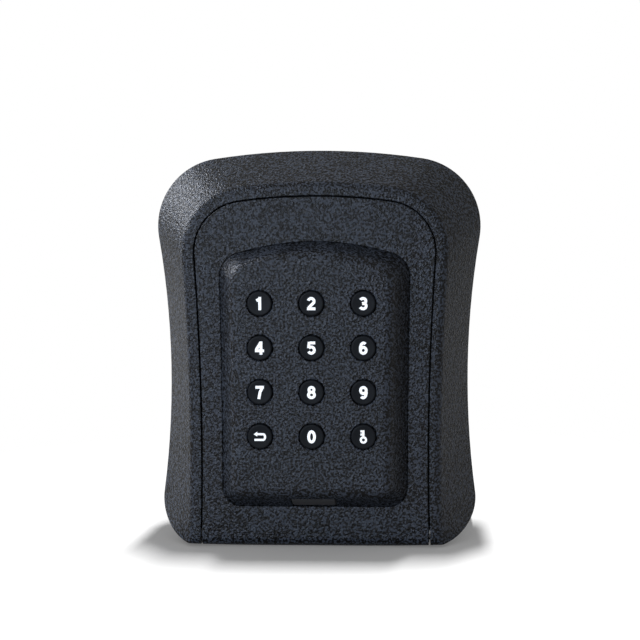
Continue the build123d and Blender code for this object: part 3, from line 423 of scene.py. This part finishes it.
def camera():
    data = bpy.data.cameras.new("camera")
    data.lens = CAMERA_LENS
    data.sensor_width = CAMERA_SENSOR
    data.shift_x = CAMERA_SHIFT
    data.clip_start = 0.01
    data.clip_end = 20
    eye = bpy.data.objects.new("camera", data)
    eye.location = CAMERA_PLACE
    eye.rotation_euler = (radians(90 - CAMERA_PITCH), 0, radians(CAMERA_YAW))
    scene.collection.objects.link(eye)
    scene.camera = eye


def softbox(name, position, target, size, power, colour=(1, 1, 1)):
    data = bpy.data.lights.new(name, "AREA")
    data.shape = "RECTANGLE"
    data.size, data.size_y = size
    data.energy = power
    data.color = colour
    lamp = bpy.data.objects.new(name, data)
    lamp.location = position
    lamp.rotation_euler = look(position, target)
    scene.collection.objects.link(lamp)
    return lamp


def share_floor(lamp, floor, state):
    """Lights the floor alone (INCLUDE) or everything but the floor (EXCLUDE)."""
    linked = bpy.data.collections.new(f"{lamp.name}_floor")
    linked.objects.link(floor)
    lamp.light_linking.receiver_collection = linked
    linked.collection_objects[0].light_linking.link_state = state


def as_seen(tree, seen, otherwise):
    """A value for the camera, reflections and clear materials, and another for the light given off."""
    path = tree.nodes.new("ShaderNodeLightPath")
    shown = math_node(tree, "MAXIMUM", path.outputs["Is Camera Ray"], path.outputs["Is Glossy Ray"])
    shown = math_node(tree, "MAXIMUM", shown, path.outputs["Is Transmission Ray"])
    return ramp(tree, shown, otherwise, seen)


def white_floor():
    """Plain white floor that keeps the object's shadow and turns evenly white away from it."""
    mesh = bpy.data.meshes.new("floor")
    level = cad_low.z - FLOOR_DROP
    corners = [(-FLOOR_REACH, -FLOOR_REACH, level), (FLOOR_REACH, -FLOOR_REACH, level)]
    corners += [(FLOOR_REACH, FLOOR_REACH, level), (-FLOOR_REACH, FLOOR_REACH, level)]
    mesh.from_pydata(corners, [], [(0, 1, 2, 3)])
    floor = bpy.data.objects.new("floor", mesh)
    scene.collection.objects.link(floor)
    material, tree, shader = node_tree("floor_white")
    place = tree.nodes.new("ShaderNodeTexCoord").outputs["Object"]
    away = tree.nodes.new("ShaderNodeVectorMath")
    away.operation = "DISTANCE"
    tree.links.new(place, away.inputs[0])
    away.inputs[1].default_value = (0, -19 * MM, level)
    spread = away.outputs["Value"]
    near = ramp(tree, spread, FLOOR_ALBEDO, 0.0, FLOOR_FADE_START, FLOOR_FADE_END)
    glow = ramp(tree, spread, FLOOR_GLOW, 1.0, FLOOR_FADE_START, FLOOR_FADE_END)
    shade = math_node(tree, "MULTIPLY", near, as_seen(tree, 1.0, 0.25))
    tint = tree.nodes.new("ShaderNodeCombineColor")
    for channel in ("Red", "Green", "Blue"):
        tree.links.new(shade, tint.inputs[channel])
    tree.links.new(tint.outputs["Color"], shader.inputs["Base Color"])
    shader.inputs["Roughness"].default_value = 1.0
    shader.inputs["Specular IOR Level"].default_value = 0.0
    shader.inputs["Emission Color"].default_value = (1, 1, 1, 1)
    lit = math_node(tree, "MULTIPLY", glow, as_seen(tree, 1.0, 0.2))
    tree.links.new(lit, shader.inputs["Emission Strength"])
    mesh.materials.append(material)
    return floor


def surround():
    """White to the camera and in reflections, and a plain grey light on the object."""
    world = bpy.data.worlds.new("surround")
    scene.world = world
    world.use_nodes = True
    tree = world.node_tree
    tree.nodes.clear()
    output = tree.nodes.new("ShaderNodeOutputWorld")
    backdrop = tree.nodes.new("ShaderNodeBackground")
    backdrop.inputs["Color"].default_value = (1, 1, 1, 1)
    tree.links.new(as_seen(tree, 1.0, SURROUND_LEVEL), backdrop.inputs["Strength"])
    tree.links.new(backdrop.outputs["Background"], output.inputs["Surface"])


def studio():
    """Soft light from the front left and from the upper left of the wall, and one over the floor."""
    middle = (0, -20 * MM, 0)
    front = softbox("front_left_light", FRONT_PLACE, middle, FRONT_SIZE, FRONT_POWER, FRONT_COLOUR)
    corner = softbox("corner_light", CORNER_PLACE, middle, CORNER_SIZE, CORNER_POWER, CORNER_COLOUR)
    foot = (0, -30 * MM, cad_low.z)
    overhead = softbox("floor_light", OVERHEAD_PLACE, foot, OVERHEAD_SIZE, FLOOR_POWER)
    floor = white_floor()
    share_floor(front, floor, "EXCLUDE")
    share_floor(corner, floor, "EXCLUDE")
    share_floor(overhead, floor, "INCLUDE")
    surround()
    scene.view_settings.view_transform = "Standard"


camera()
paint_nodes()
legends()
studio()
